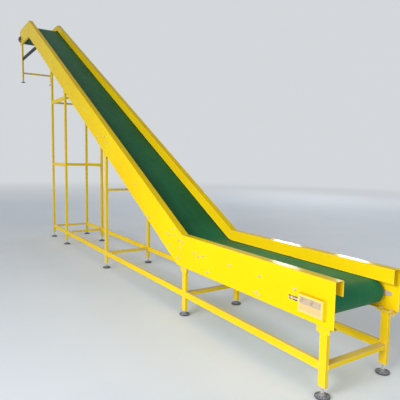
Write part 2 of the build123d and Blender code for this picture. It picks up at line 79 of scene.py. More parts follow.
JOINT = {j["name"]: Vector(j["pos_m"]) for j in frame["joints"]}
ROLLER_NAMES = [n for n in frame["nodes"] if n.endswith("roller") or "return_roller" in n]


def box(node):
    """Lowest corner, highest corner and middle of a CAD node."""
    lo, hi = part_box(node)
    return Vector(lo), Vector(hi), (Vector(lo) + Vector(hi)) / 2


def around(count, start=0.0):
    """Angles at equal steps round a circle."""
    return [start + 2 * pi * k / count for k in range(count)]


# Materials


class Nodes:
    """Makes and links the nodes of one shader tree."""

    def __init__(self, tree):
        self.tree = tree
        self.tree.nodes.clear()

    def link(self, a, b):
        self.tree.links.new(a, b)

    def put(self, socket, value):
        """Links an output to a socket, or sets a constant on the socket itself."""
        if isinstance(value, bpy.types.NodeSocket):
            self.link(value, socket)
        else:
            socket.default_value = value

    def node(self, kind, inputs=(), **props):
        n = self.tree.nodes.new("ShaderNode" + kind)
        for key, value in props.items():
            setattr(n, key, value)
        for key, value in dict(inputs).items():
            self.put(n.inputs[key], value)
        return n

    def math(self, op, a, b=0.0):
        return self.node("Math", {0: a, 1: b}, operation=op).outputs[0]

    def times(self, a, b):
        return self.math("MULTIPLY", a, b)

    def seen(self):
        """1 for what the camera sees directly, in a gloss or through glass."""
        path = self.node("LightPath").outputs
        direct = self.math("MAXIMUM", path["Is Camera Ray"], path["Is Glossy Ray"])
        return self.math("MAXIMUM", direct, path["Is Transmission Ray"])


class Shade(Nodes):
    """One procedural material in the model's coordinates."""

    def __init__(self, name):
        self.mat = bpy.data.materials.new(name)
        self.mat.use_nodes = True
        super().__init__(self.mat.node_tree)
        self.out = self.node("OutputMaterial")
        self.bsdf = self.node("BsdfPrincipled")
        self.link(self.bsdf.outputs[0], self.out.inputs[0])
        self.coord = self.node("TexCoord").outputs["Object"]

    def set(self, **values):
        """Fills the shader's sockets, named with underscores for spaces."""
        for key, value in values.items():
            self.put(self.bsdf.inputs[key.replace("_", " ")], value)

    def scaled(self, x, y, z):
        return self.node("Mapping", {"Vector": self.coord, "Scale": (x, y, z)}).outputs[0]

    def noise(self, scale, detail=3.0, rough=0.55, vector=None, distortion=0.0):
        n = self.node("TexNoise", {
            "Vector": vector or self.coord, "Scale": scale, "Detail": detail, "Roughness": rough,
            "Distortion": distortion,
        })
        return n.outputs["Fac"]

    def voronoi(self, scale, output="Distance"):
        n = self.node("TexVoronoi", {"Vector": self.coord, "Scale": scale}, feature="F1")
        return n.outputs[output]

    def span(self, value, low, high, to_low=0.0, to_high=1.0):
        """Carries a value from one range to another and holds it at the ends."""
        n = self.node("MapRange", {
            "Value": value, "From Min": low, "From Max": high, "To Min": to_low, "To Max": to_high,
        }, clamp=True)
        return n.outputs[0]

    def mix(self, factor, a, b):
        """Mix of two colours, each a tuple or an output."""
        a, b = ((*c, 1.0) if isinstance(c, tuple) else c for c in (a, b))
        return self.node("Mix", {0: factor, 6: a, 7: b}, data_type="RGBA").outputs[2]

    def axis(self, name):
        return self.node("SeparateXYZ", {"Vector": self.coord}).outputs[name]

    def upward(self):
        """1 on a face that looks straight up, 0 on an upright one."""
        normal = self.node("NewGeometry").outputs["Normal"]
        return self.node("SeparateXYZ", {"Vector": normal}).outputs["Z"]

    def soft(self, radius):
        """Shading normal with rounded edges."""
        return self.node("Bevel", {"Radius": radius}, samples=4).outputs[0]

    def edge(self, radius):
        """1 near an edge, 0 on open faces."""
        normal = self.node("NewGeometry").outputs["Normal"]
        dot = self.node("VectorMath", {0: self.soft(radius), 1: normal}, operation="DOT_PRODUCT")
        return self.span(dot.outputs["Value"], 0.995, 0.90)

    def bump(self, height, distance, strength=1.0, normal=None):
        n = self.node("Bump", {"Height": height, "Distance": distance, "Strength": strength})
        if normal is not None:
            self.link(normal, n.inputs["Normal"])
        return n.outputs[0]


def paint(name, light, deep, dust, top, top_tone):
    """Yellow enamel: uneven coat, painted edge highlight, chips, dust near the floor; level faces take
    top_tone, dust on the tubes and painted shade on the plates.
    """
    s = Shade(name)
    body = s.mix(s.span(s.noise(1.7, 4.0), 0.36, 0.66), deep, light)
    streak = s.noise(11.0, 5.0, 0.6, vector=s.scaled(1.0, 1.0, 0.22))
    body = s.mix(s.span(streak, 0.58, 0.80, 0.0, 0.30), body, (0.78, 0.50, 0.012))
    specks = s.noise(150.0, 2.0, 0.5)
    body = s.mix(s.span(specks, 0.76, 0.82, 0.0, 0.5), body, (0.40, 0.27, 0.03))
    # Painted highlight: a pale yellow line along every fold and edge.
    body = s.mix(s.times(s.edge(0.0045), 0.6), body, (1.0, 0.88, 0.26))
    edge = s.edge(0.0028)
    worn = s.times(edge, s.span(s.noise(38.0, 5.0, 0.65), 0.50, 0.64))
    body = s.mix(s.times(worn, 0.40), body, (0.58, 0.38, 0.04))
    chip = s.times(edge, s.span(s.noise(95.0, 3.0, 0.6), 0.66, 0.70))
    body = s.mix(chip, body, (0.17, 0.15, 0.13))
    low = s.span(s.axis("Z"), 0.24, 0.02)
    dusty = s.times(low, s.span(s.noise(14.0, 5.0, 0.6), 0.35, 0.70))
    body = s.mix(s.times(dusty, dust), body, (0.50, 0.42, 0.24))
    # Level faces mix to top_tone: dust on the tubes, painted shade on the plates.
    level_dust_and_shade = s.span(s.noise(9.0, 4.0, 0.6), 0.30, 0.62, 0.6, 1.0)
    lying = s.times(s.span(s.upward(), 0.55, 0.85), level_dust_and_shade)
    body = s.mix(s.times(lying, top), body, top_tone)
    wavy = s.bump(s.noise(4.2, 2.0, 0.4), 0.002, 0.25, s.soft(0.0012))
    peel = s.bump(s.noise(620.0, 2.0, 0.5), 0.00004, 0.3, wavy)
    rough = s.span(s.noise(6.5, 4.0, 0.6), 0.3, 0.75, 0.10, 0.17)
    s.set(Base_Color=body, Roughness=rough, Normal=peel, Specular_IOR_Level=0.015)
    return s.mat


def belt_material():
    """Green coated belt: long faint streaks, scuffs, painted light on the level infeed run and painted shade
    along its edges.
    """
    s = Shade("belt_green")
    body = s.mix(s.span(s.noise(2.6, 5.0, 0.6), 0.35, 0.68), (0.009, 0.094, 0.035), (0.013, 0.118, 0.047))
    streaks = s.noise(1.0, 4.0, 0.6, vector=s.scaled(1.4, 46.0, 1.4))
    body = s.mix(s.span(streaks, 0.48, 0.78, 0.0, 0.50), body, (0.020, 0.150, 0.066))
    rub = s.times(s.span(s.noise(7.0, 5.0, 0.7), 0.52, 0.74), s.span(s.noise(70.0, 3.0), 0.45, 0.65))
    body = s.mix(s.times(rub, 0.30), body, (0.070, 0.240, 0.135))
    scuff = s.noise(10.0, 5.0, 0.72, vector=s.scaled(0.8, 2.6, 0.8), distortion=0.8)
    body = s.mix(s.span(scuff, 0.66, 0.73, 0.0, 0.30), body, (0.070, 0.190, 0.115))
    x = s.axis("X")
    # Painted light: the level run at the infeed end is made a brighter green.
    infeed = s.times(s.span(x, -1.45, -0.75, 0.0, 0.75), s.span(x, -0.05, -0.22, 0.5, 1.0))
    body = s.mix(infeed, body, (0.040, 0.250, 0.118))
    body = s.mix(s.span(s.voronoi(85.0), 0.075, 0.04, 0.0, 0.30), body, (0.15, 0.28, 0.20))
    side = s.math("ABSOLUTE", s.axis("Y"))
    # Painted shade: the belt's edges under the lips are darkened, less so at the tail's end.
    rim = s.times(s.span(side, 0.164, 0.176, 0.0, 0.75), s.span(x, -0.08, -0.25, 0.1, 1.0))
    body = s.mix(rim, body, (0.006, 0.036, 0.018))
    weave = s.bump(s.voronoi(900.0), 0.00012, 0.35)
    rolling = s.bump(s.noise(11.0, 3.0, 0.5), 0.0012, 0.4, weave)
    rough = s.span(s.noise(16.0, 4.0, 0.6), 0.3, 0.7, 0.36, 0.50)
    s.set(Base_Color=body, Roughness=rough, Normal=rolling, Specular_IOR_Level=0.05)
    return s.mat


def metal(name, light, dark, scale, grain=(1.0, 1.0, 1.0), rough=(0.25, 0.45), stain=0.25, metallic=0.9):
    """Bare or plated metal with grain, tarnish and softened edges."""
    s = Shade(name)
    lines = s.noise(scale, 4.0, 0.6, vector=s.scaled(*grain))
    body = s.mix(s.span(lines, 0.35, 0.68), dark, light)
    body = s.mix(s.span(s.noise(13.0, 6.0, 0.65), 0.58, 0.76, 0.0, stain), body, (0.24, 0.17, 0.10))
    fine = s.bump(lines, 0.0002, 0.5, s.soft(0.0006))
    uneven = s.span(s.noise(24.0, 4.0), 0.3, 0.7, *rough)
    s.set(Base_Color=body, Roughness=uneven, Normal=fine, Metallic=metallic)
    return s.mat


def galvanised():
    """Galvanised sheet with its spangle."""
    s = Shade("bed_zinc")
    grey = s.node("RGBToBW", {"Color": s.voronoi(95.0, "Color")}).outputs[0]
    body = s.mix(grey, (0.42, 0.44, 0.46), (0.66, 0.68, 0.70))
    body = s.mix(s.span(s.noise(10.0, 5.0), 0.55, 0.75, 0.0, 0.35), body, (0.36, 0.34, 0.30))
    rough = s.span(grey, 0.2, 0.8, 0.30, 0.50)
    s.set(Base_Color=body, Roughness=rough, Normal=s.soft(0.0005), Metallic=0.85)
    return s.mat


def moulded(s, body, rough):
    """Gives a plastic or rubber its fine grain and soft edges."""
    fine = s.bump(s.noise(420.0, 2.0), 0.0002, 0.6, s.soft(0.0008))
    s.set(Base_Color=body, Roughness=s.span(s.noise(30.0), 0.3, 0.7, *rough), Normal=fine)
    return s.mat


def plastic(name, light, dark, rough=(0.45, 0.65), dust=(0.30, 0.29, 0.27), dust_share=0.35):
    """Moulded plastic or rubber with dust on its level faces."""
    s = Shade(name)
    body = s.mix(s.span(s.noise(22.0, 4.0), 0.35, 0.68), dark, light)
    lying = s.times(s.span(s.upward(), 0.2, 0.9), s.span(s.noise(55.0, 5.0, 0.65), 0.38, 0.66))
    return moulded(s, s.mix(s.times(lying, dust_share), body, dust), rough)


def pad_material():
    """Moulded foot pad: dark rim, with its dish and hub a paler blue-grey."""
    s = Shade("pad_black")
    body = s.mix(s.span(s.noise(22.0, 4.0), 0.35, 0.68), (0.040, 0.042, 0.048), (0.075, 0.080, 0.090))
    z = s.axis("Z")
    dish = s.times(s.span(s.upward(), 0.05, 0.45), s.span(z, 0.0088, 0.0081))
    hub = s.span(z, 0.0097, 0.0102, 0.0, 0.45)
    uneven = s.span(s.noise(60.0, 5.0, 0.65), 0.30, 0.55, 0.35, 1.0)
    # The dish and hub turn a paler blue-grey in uneven patches.
    dust = s.times(s.math("MAXIMUM", dish, hub), uneven)
    return moulded(s, s.mix(dust, body, (0.50, 0.52, 0.56)), (0.45, 0.65))


def machine_paint(name, light, dark, rough=(0.30, 0.48), shine=0.5):
    """Satin machine enamel over a cast or pressed surface, with grime and worn edges."""
    s = Shade(name)
    body = s.mix(s.span(s.noise(8.0, 4.0), 0.36, 0.66), dark, light)
    worn = s.times(s.edge(0.002), s.span(s.noise(60.0, 4.0, 0.6), 0.50, 0.62))
    body = s.mix(s.times(worn, 0.6), body, (0.34, 0.35, 0.35))
    grime = s.noise(28.0, 6.0, 0.68)
    body = s.mix(s.span(grime, 0.56, 0.76, 0.0, 0.45), body, (0.055, 0.050, 0.045))
    cast = s.bump(s.noise(260.0, 3.0, 0.6), 0.0003, 0.55, s.soft(0.0015))
    uneven = s.span(grime, 0.3, 0.7, *rough)
    s.set(Base_Color=body, Roughness=uneven, Normal=cast, Specular_IOR_Level=shine)
    return s.mat


def panel_material(lo, hi):
    """Blank cover panel: a smudged grey band above a cream one, inside a paler rim."""
    s = Shade("panel_pale")
    z, x = s.axis("Z"), s.axis("X")
    blur = 0.001
    rim = 0.006
    wobble = s.times(s.math("SUBTRACT", s.noise(40.0, 3.0), 0.5), 0.004)
    split_z = lo.z + 0.50 * (hi.z - lo.z)
    upper = s.span(s.math("ADD", z, wobble), split_z - blur, split_z + blur)
    smudge = s.span(s.noise(52.0, 4.0, 0.6, vector=s.scaled(0.55, 1.0, 1.3)), 0.46, 0.62)
    grey = s.mix(smudge, (0.56, 0.43, 0.30), (0.33, 0.25, 0.17))
    body = s.mix(upper, (0.74, 0.54, 0.23), grey)
    inside = s.span(z, lo.z + rim, lo.z + rim + blur)
    inside = s.times(inside, s.span(z, hi.z - rim, hi.z - rim - blur))
    inside = s.times(inside, s.span(x, lo.x + rim, lo.x + rim + blur))
    inside = s.times(inside, s.span(x, hi.x - rim, hi.x - rim - blur))
    body = s.mix(inside, (0.80, 0.66, 0.26), body)
    rubbed = s.noise(75.0, 5.0, 0.65)
    body = s.mix(s.span(rubbed, 0.56, 0.72, 0.0, 0.5), body, (0.80, 0.68, 0.50))
    grime = s.noise(30.0, 5.0, 0.6)
    body = s.mix(s.span(grime, 0.60, 0.78, 0.0, 0.35), body, (0.44, 0.33, 0.19))
    fine = s.bump(rubbed, 0.0002, 0.4, s.soft(0.0004))
    rough = s.span(grime, 0.3, 0.7, 0.35, 0.55)
    s.set(Base_Color=body, Roughness=rough, Normal=fine, Specular_IOR_Level=0.25)
    return s.mat


panel_lo, panel_hi, _ = box("take_up_panels")

# The plates' dark top tone is painted shade on their level faces; the tubes' pale one is dust.
PLATE = paint("plate_paint", (0.980, 0.708, 0.006), (0.945, 0.645, 0.006), 0.35, 0.5, (0.46, 0.33, 0.008))
TUBE = paint("tube_paint", (0.970, 0.690, 0.010), (0.935, 0.625, 0.010), 0.2, 0.5, (0.80, 0.61, 0.33))
BELT = belt_material()
BED = galvanised()
DRUM = metal("drum_steel", (0.60, 0.61, 0.62), (0.42, 0.43, 0.44), 90.0, (1.0, 9.0, 1.0))
ROLLER = metal("roller_zinc", (0.72, 0.73, 0.74), (0.56, 0.57, 0.58), 70.0, (0.6, 5.0, 0.6))
BRIGHT = metal("bright_steel", (0.74, 0.73, 0.70), (0.52, 0.52, 0.50), 150.0)
BOLT = metal("bolt_zinc", (0.90, 0.78, 0.60), (0.68, 0.57, 0.42), 220.0, stain=0.3, metallic=0.5)
SLIDE = metal("slide_zinc", (0.68, 0.61, 0.56), (0.50, 0.45, 0.41), 90.0, rough=(0.4, 0.6), metallic=0.25)
BLANK = metal("rating_plate", (0.74, 0.74, 0.73), (0.60, 0.60, 0.60), 60.0, (8.0, 1.0, 1.0), (0.3, 0.4))
BRACE = machine_paint("brace_dark", (0.024, 0.046, 0.036), (0.012, 0.025, 0.020), (0.45, 0.62), 0.12)
IRON = machine_paint("bearing_iron", (0.115, 0.150, 0.165), (0.080, 0.105, 0.118))
GEAR = machine_paint("gearbox_grey", (0.31, 0.34, 0.36), (0.23, 0.255, 0.27))
MOTOR = machine_paint("motor_grey", (0.225, 0.26, 0.285), (0.165, 0.19, 0.21))
PAD = pad_material()
RUBBER = plastic("seal_rubber", (0.035, 0.035, 0.035), (0.018, 0.018, 0.018), (0.55, 0.75))
SKID = plastic("skid_plastic", (0.84, 0.84, 0.81), (0.72, 0.72, 0.69), dust=(0.42, 0.40, 0.36))
# Painted shade: near-black material of the disc inside the motor's cowl.
COWL_PAINTED_SHADE = plastic("cowl_painted_shade", (0.012, 0.012, 0.012), (0.006, 0.006, 0.006), dust_share=0.1)
PANEL = panel_material(panel_lo, panel_hi)

NODE_MATERIAL = {
    "belt": BELT, "tail_bed": BED, "incline_bed": BED, "head_bed": BED, "tail_drum": DRUM, "head_drum": DRUM,
    "tail_shaft": BRIGHT, "roller_axles": BRIGHT, "take_up_blocks": BRIGHT, "take_up_screws": BRIGHT,
    "take_up_panels": PANEL, "floor_foot_pads": PAD, "head_foot_pads": PAD, "floor_foot_screws": BRIGHT,
    "head_foot_screws": BRIGHT, "head_braces": BRACE, "head_bearings": IRON, "gearbox": GEAR, "motor": MOTOR,
    "hold_down_skids": SKID, **dict.fromkeys(ROLLER_NAMES, ROLLER),
}
for name, obj in frame["nodes"].items():
    is_sheet = "plate_" in name or name == "take_up_boxes"
    mat = NODE_MATERIAL.get(name, PLATE if is_sheet else TUBE)
    if not obj.material_slots:
        obj.data.materials.append(mat)
    for holder in obj.material_slots:
        holder.material = mat


# Mesh helpers


def onto(point, axis, spin=0.0):
    """Matrix that takes local z to an axis at a point."""
    z = Vector(axis).normalized()
    side = Vector((0, 0, 1)) if abs(z.z) < 0.9 else Vector((1, 0, 0))
    x = side.cross(z).normalized()
    y = z.cross(x)
    turn = Matrix((x, y, z)).transposed().to_4x4()
    return Matrix.Translation(Vector(point)) @ turn @ Matrix.Rotation(spin, 4, "Z")


def rings(bm, place, loops, capped=True):
    """Skins a list of equal closed loops of points, given in local coordinates."""
    rows = [[bm.verts.new(place @ Vector(p)) for p in loop] for loop in loops]
    count = len(rows[0])
    for a, b in zip(rows, rows[1:]):
        for k in range(count):
            j = (k + 1) % count
            bm.faces.new((a[k], a[j], b[j], b[k]))
    if capped:
        bm.faces.new(list(reversed(rows[0])))
        bm.faces.new(rows[-1])


def lathe(bm, place, profile, n=28, capped=True):
    """Turned form about local z from (radius, z) pairs."""
    turn = [(cos(a), sin(a)) for a in around(n)]
    rings(bm, place, [[(r * c, r * s, z) for c, s in turn] for r, z in profile], capped)


def hexagon(bm, place, af, height, both=False, n=36):
    """Hexagon with a turned chamfer on its top, or on both ends; af is its width across flats."""
    r_in = af / 2
    angles = around(n)
    corners = [r_in / cos(a % (pi / 3) - pi / 6) for a in angles]
    face = [r_in * 0.95] * n

    def loop(radii, z, way=0):
        lean = [z + way * max(0.0, r - r_in * 0.97) * 0.58 for r in radii]
        return [(r * cos(a), r * sin(a), high) for r, a, high in zip(radii, angles, lean)]

    start = [loop(face, 0.0), loop(corners, 0.0, 1)] if both else [loop(corners, 0.0)]
    rings(bm, place, [*start, loop(corners, height, -1), loop(face, height)])


WASHER_T = 0.0016
SEAT_Z = 0.0015  # heads sit a hair into their washers
SEAT = Matrix.Translation((0, 0, SEAT_Z))


def washer(bm, place, r):
    lathe(bm, place, [(r, 0.0), (r, WASHER_T * 0.75), (r - WASHER_T * 0.3, WASHER_T)])


def dome(bm, place, r, h, n):
    """Low domed head, as on a coach bolt or a rivet."""
    steps = 5
    profile = [(r, 0.0)]
    for k in range(steps):
        a = pi / 2 * k / steps
        profile.append((r * cos(a), 0.15 * h + 0.85 * h * sin(a)))
    profile.append((r * 0.06, h))
    lathe(bm, place, profile, n)


def bolt(bm, point, axis, af=0.013, h=0.0053, washer_r=0.008):
    """Hexagon bolt head on its washer, standing on a surface."""
    place = onto(point, axis, rng.uniform(0, pi / 3))
    washer(bm, place, washer_r)
    hexagon(bm, place @ SEAT, af, h)


def nut(bm, point, axis, h=0.0065, washer_r=0.008, stud=0.004):
    """Nut on a washer with the screw's end standing out of it."""
    place = onto(point, axis, rng.uniform(0, pi / 3))
    washer(bm, place, washer_r)
    hexagon(bm, place @ SEAT, 0.013, h)
    top = SEAT_Z + h
    r = 0.004
    lathe(bm, place, [(r, top - 0.0005), (r, top + stud * 0.7), (r * 0.8, top + stud)], 18)


def thread(bm, start, axis, length, r, n=16):
    """Threaded rod: a helical ridge all along it."""
    pitch, depth, per_turn = 0.00175, 0.0009, 5
    count = max(2, round(length / pitch * per_turn))
    loops = []
    for i in range(count + 1):
        z = length * i / count
        taper = 1.0 if 0 < i < count else 0.9
        loop = []
        for k, a in enumerate(around(n)):
            phase = (z / pitch - k / n) % 1.0
            ridge = 1 - abs(2 * phase - 1)
            rr = (r - depth * (1 - ridge)) * taper
            loop.append((rr * cos(a), rr * sin(a), z))
        loops.append(loop)
    rings(bm, onto(start, axis), loops)


def bead(bm, a, b, r=0.0028, n=7):
    """Weld bead between two points: a rippled half-sunk rope."""
    a, b = Vector(a), Vector(b)
    run = b - a
    length, ripple = run.length, 0.0032
    count = max(4, round(length / ripple))
    loops = []
    for i in range(count + 1):
        z = length * i / count
        swell = r * (1 + 0.16 * (1 if i % 2 else -1) + rng.uniform(-0.12, 0.12))
        if i in (0, count):
            swell *= 0.55
        loops.append([(swell * cos(t), swell * sin(t), z) for t in around(n)])
    rings(bm, onto(a, run), loops)


def weld_rect(bm, centre, u, half_u, v, half_v, r=0.0028):
    """Beads round a rectangular joint."""
    c, u, v = Vector(centre), Vector(u) * half_u, Vector(v) * half_v
    corners = [c + u + v, c - u + v, c - u - v, c + u - v]
    for a, b in zip(corners, corners[1:] + corners[:1]):
        bead(bm, a, b, r)


def slab(bm, place, size, bevel):
    """Block with bevelled long edges, its base on the local z plane."""
    hx, hy, h = size[0] / 2, size[1] / 2, size[2]
    b = min(bevel, hx * 0.6, hy * 0.6, h * 0.4)

    def loop(inset, z):
        x, y = hx - inset, hy - inset
        outline = [(x, y - b), (x - b, y), (-x + b, y), (-x, y - b)]
        return [(px, py, z) for px, py in outline + [(-px, -py) for px, py in outline]]

    rings(bm, place, [loop(0, 0), loop(0, h - b), loop(b * 0.7, h)])


def piece(name, build, mat, body="frame", args=(), smooth=True):
    """Makes one object from a build function, gives it its finish and lets it ride."""
    bm = bmesh.new()
    build(bm, *args)
    bmesh.ops.recalc_face_normals(bm, faces=bm.faces)
    mesh = bpy.data.meshes.new(name)
    bm.to_mesh(mesh)
    bm.free()
    obj = bpy.data.objects.new(name, mesh)
    bpy.context.collection.objects.link(obj)
    mesh.materials.append(mat)
    if smooth:
        mesh.shade_smooth()
        mesh.set_sharp_from_angle(angle=radians(32))
    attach(obj, body)
    return obj


def run_frame(x):
    """Top edge line over x: unit vector to the tail, unit normal up, and a point on the line."""
    lower = Vector((LOWER_BEND_X, 0, TOP_Z))
    upper = Vector((UPPER_BEND_X, 0, HEAD_TOP_Z))
    if UPPER_BEND_X < x <= LOWER_BEND_X:
        return Vector((cos(SLOPE), 0, -sin(SLOPE))), Vector((sin(SLOPE), 0, cos(SLOPE))), lower
    return Vector((1, 0, 0)), Vector((0, 0, 1)), lower if x > LOWER_BEND_X else upper


def under_line(x, drop):
    """Point at x that lies a drop under the top edge line of its run."""
    t, n, ref = run_frame(x)
    s = (x + drop * n.x - ref.x) / t.x
    p = ref + t * s - n * drop
    return Vector((x, 0, p.z))


# Bolts and nuts on the side plates

FIXING_DROP = 0.090  # the beds' bolts under a plate's top edge
FIXING_STEP = 0.62  # and their spacing along the incline
TAIL_FIXINGS = (-1.058, -0.955, -0.686, -0.426, -0.174)
FIRST_INCLINE_FIXING = -1.95
HEAD_FIXINGS = (-5.86, -6.10)
SPLICE_BOLTS = (
    (-1.428, 0.522), (-1.334, 0.567), (-1.381, 0.513), (-1.301, 0.526), (-1.384, 0.446), (-1.252, 0.500),
    (-1.199, 0.497), (-1.242, 0.451), (-1.008, 0.434), (-1.177, 0.323), (-0.429, 0.349), (-2.634, 1.233),
)


def web_bolts(bm, side):
    """Bolts of the skids and the splice, two single ones, and the row that holds the beds."""
    out = (0, side, 0)
    for x, z in SPLICE_BOLTS:
        bolt(bm, (x, side * OUT_Y, z), out, 0.011, 0.0045, 0.0075)
    for x in TAIL_FIXINGS:
        bolt(bm, (x, side * OUT_Y, TOP_Z - FIXING_DROP), out)
    x = FIRST_INCLINE_FIXING
    while x > UPPER_BEND_X + 0.25:
        bolt(bm, (x, side * OUT_Y, under_line(x, FIXING_DROP).z), out)
        x -= FIXING_STEP
    for x in HEAD_FIXINGS:
        bolt(bm, (x, side * OUT_Y, HEAD_TOP_Z - FIXING_DROP), out)


def axle_bolts(bm, side):
    for name in ROLLER_NAMES:
        p = JOINT[name + "_spin"]
        nut(bm, (p.x, side * OUT_Y, p.z), (0, side, 0), 0.0060, 0.0085, 0.0035)


def bracket_bolts(bm):
    """Bolts through each bracket's level leaf and the plate's bottom flange."""
    leaf_drop, inset, reach = 0.0135, 0.017, 0.0285
    for x in (*LEGS, HEAD_LEG):
        t, n, _ = run_frame(x)
        base = under_line(x + (PLATE_H + leaf_drop) * n.x, 0.0)
        for side in SIDES:
            across = Vector((0, side * (OUT_Y - inset), 0))
            for way in (-1, 1):
                spot = base + t * (reach * way)
                bolt(bm, spot - n * (PLATE_H - SHEET) + across, n)
                nut(bm, spot - n * (PLATE_H + LEAF) + across, -n, stud=0.005)


for side in SIDES:
    piece(f"web_bolts_{NAMES[side]}", web_bolts, BOLT, args=(side,))
    piece(f"axle_bolts_{NAMES[side]}", axle_bolts, BOLT, args=(side,))
piece("bracket_bolts", bracket_bolts, BOLT)


# Welds


def stand_welds(bm):
    """Beads round the stand's tube joints and under the brackets."""
    half, thin = TUBE_HALF, TUBE_HALF_THIN
    across, upright, along = (0, 1, 0), (0, 0, 1), (1, 0, 0)
    bars = [(a, b, RAIL_Z) for a, b in zip(LEGS, LEGS[1:])]
    bars += [(LEGS[3], LEGS[4], z) for z in (MID_BAR_Z, HIGH_BAR_Z)]
    for a, b, z in bars:
        for x in (a - half, b + half):
            for side in SIDES:
                weld_rect(bm, (x, side * LEG_Y, z), across, thin, upright, half)
    cross = [(x, RAIL_Z) for x in LEGS]
    cross += [(x, z) for z in (MID_BAR_Z, HIGH_BAR_Z) for x in LEGS[3:]]
    cross += [(LEGS[2], LOW_BAR_Z), (HEAD_LEG, box("head_cross_bar")[2].z)]
    for x, z in cross:
        for side in SIDES:
            weld_rect(bm, (x, side * (LEG_Y - thin), z), along, half, upright, thin)
    for x in (*LEGS, HEAD_LEG):
        t, _, _ = run_frame(x)
        reach = t * half * (1 / t.x)
        for side in SIDES:
            for y in (LEG_Y - thin, LEG_Y + thin - 0.004):
                mid = under_line(x, PLATE_H + LEAF) + Vector((0, side * y, 0))
                bead(bm, mid - reach, mid + reach, 0.0025)
    for side in SIDES:
        weld_rect(bm, (RAIL_JOINT_X, side * LEG_Y, RAIL_Z), across, thin, upright, half, 0.0018)


def plate_welds(bm):
    """Dressed welds down the webs and over the flanges on both mitres."""
    down = Vector((-sin(SLOPE / 2), 0, -cos(SLOPE / 2)))
    reach = (PLATE_H - 0.004) / cos(SLOPE / 2)
    for bend_x, bend_z in ((LOWER_BEND_X, TOP_Z), (UPPER_BEND_X, HEAD_TOP_Z)):
        for side in SIDES:
            top = Vector((bend_x, side * OUT_Y, bend_z)) + down * 0.004
            bead(bm, top, top + down * (reach - 0.002), 0.0011, 6)
            a, b = (Vector((bend_x, side * (OUT_Y - inset), bend_z + 0.0002)) for inset in (0.003, 0.050))
            bead(bm, a, b, 0.0010, 6)


piece("stand_welds", stand_welds, TUBE)
piece("plate_welds", plate_welds, PLATE)


# Levelling feet

STEM_Z = 0.0225  # a stem's start over the floor, at the top of the pad's hub


def foot_places():
    """Each foot as (x, y, floor z, stem's top z, pad radius): those of the floor, then of the head stand."""
    stem_tops = (0.051, 0.032, 0.049, 0.057, 0.060)
    floor_z = box("head_foot_pads")[0].z
    stem_top = box("head_foot_screws")[1].z
    return (
        [(x, side * LEG_Y, 0.0, top, 0.034) for x, top in zip(LEGS, stem_tops) for side in SIDES],
        [(HEAD_LEG, side * LEG_Y, floor_z, stem_top, 0.031) for side in SIDES],
    )


def pads(bm, rows):
    """Moulded pads: upright rim, dished top with radial ribs, and a hub for the screw."""
    for x, y, z, _, r in rows:
        place = Matrix.Translation((x, y, z)) @ Matrix.Rotation(rng.uniform(0, pi), 4, "Z")
        lathe(bm, place, [
            (r - 0.0025, 0.0), (r - 0.0008, 0.0008), (r, 0.0025), (r, 0.0080), (r - 0.0008, 0.0092),
            (r - 0.0022, 0.0096), (r - 0.0036, 0.0090), (r - 0.0042, 0.0066), (0.0200, 0.0076),
            (0.0165, 0.0120), (0.0135, 0.0180), (0.0122, 0.0208), (0.0105, 0.0220), (0.0075, 0.0220),
        ], 48)
        foot, inner, outer, half = 0.0040, 0.0150, r - 0.0040, 0.0010
        tops = ((inner, 0.0148), (0.5 * (inner + outer), 0.0094), (outer, 0.0078))
        loops = [
            [(rad, -half, foot), (rad, half, foot), (rad, half * 0.6, high), (rad, -half * 0.6, high)]
            for rad, high in tops
        ]
        for a in around(12):
            rings(bm, place @ Matrix.Rotation(a, 4, "Z"), loops)


def stems(bm, rows):
    """Threaded stems that stand in the pads' hubs."""
    for x, y, z, top, _ in rows:
        thread(bm, (x, y, z + STEM_Z), (0, 0, 1), top - z - STEM_Z, 0.006)


def lock_nuts(bm, rows):
    """Nut and washer under each leg, and a second nut on the pad where the stem is long."""
    for x, y, z, top, _ in rows:
        place = onto((x, y, top - 0.0002), (0, 0, -1), rng.uniform(0, pi / 3))
        washer(bm, place, 0.0095)
        hexagon(bm, place @ SEAT, 0.0175, 0.0070, both=True)
        if top - z > 0.045:
            low = onto((x, y, z + 0.0222), (0, 0, 1), rng.uniform(0, pi / 3))
            hexagon(bm, low, 0.0150, 0.0050, both=True)


for label, rows in zip(("floor", "head"), foot_places()):
    pad = piece(f"{label}_pad_mouldings", pads, PAD, args=(rows,))
    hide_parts(f"{label}_foot_pads")
    stem = piece(f"{label}_threaded_stems", stems, BRIGHT, args=(rows,))
    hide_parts(f"{label}_foot_screws")
    piece(f"{label}_lock_nuts", lock_nuts, BOLT, args=(rows,))


# Take-up

shaft_mid = box("tail_shaft")[2]
block_lo = box("take_up_blocks")[0]
screw_lo, screw_hi, screw_mid = box("take_up_screws")
SCREW_Y = OUT_Y - 0.00125


def take_up_threads(bm):
    for side in SIDES:
        start = (screw_lo.x, side * SCREW_Y, screw_mid.z)
        thread(bm, start, (1, 0, 0), screw_hi.x - screw_lo.x, 0.006, 18)


def take_up_lugs(bm):
    """Lug inside each web that the adjusting screw passes through, at the slot's end."""
    for side in SIDES:
        place = onto((screw_lo.x + 0.012, side * WEB_Y, screw_mid.z), (0, -side, 0))
        slab(bm, place, (0.030, 0.010, 0.014), 0.0015)


def take_up_nuts(bm):
    """Adjusting nut at the lug, and lock nut at the shaft's block."""
    for side in SIDES:
        for x, way, spin in ((screw_lo.x + 0.018, 1, 0.2), (block_lo.x + 0.0005, -1, 0.1)):
            place = onto((x, side * SCREW_Y, screw_mid.z), (way, 0, 0), spin)
            hexagon(bm, place, 0.018, 0.008, both=True)


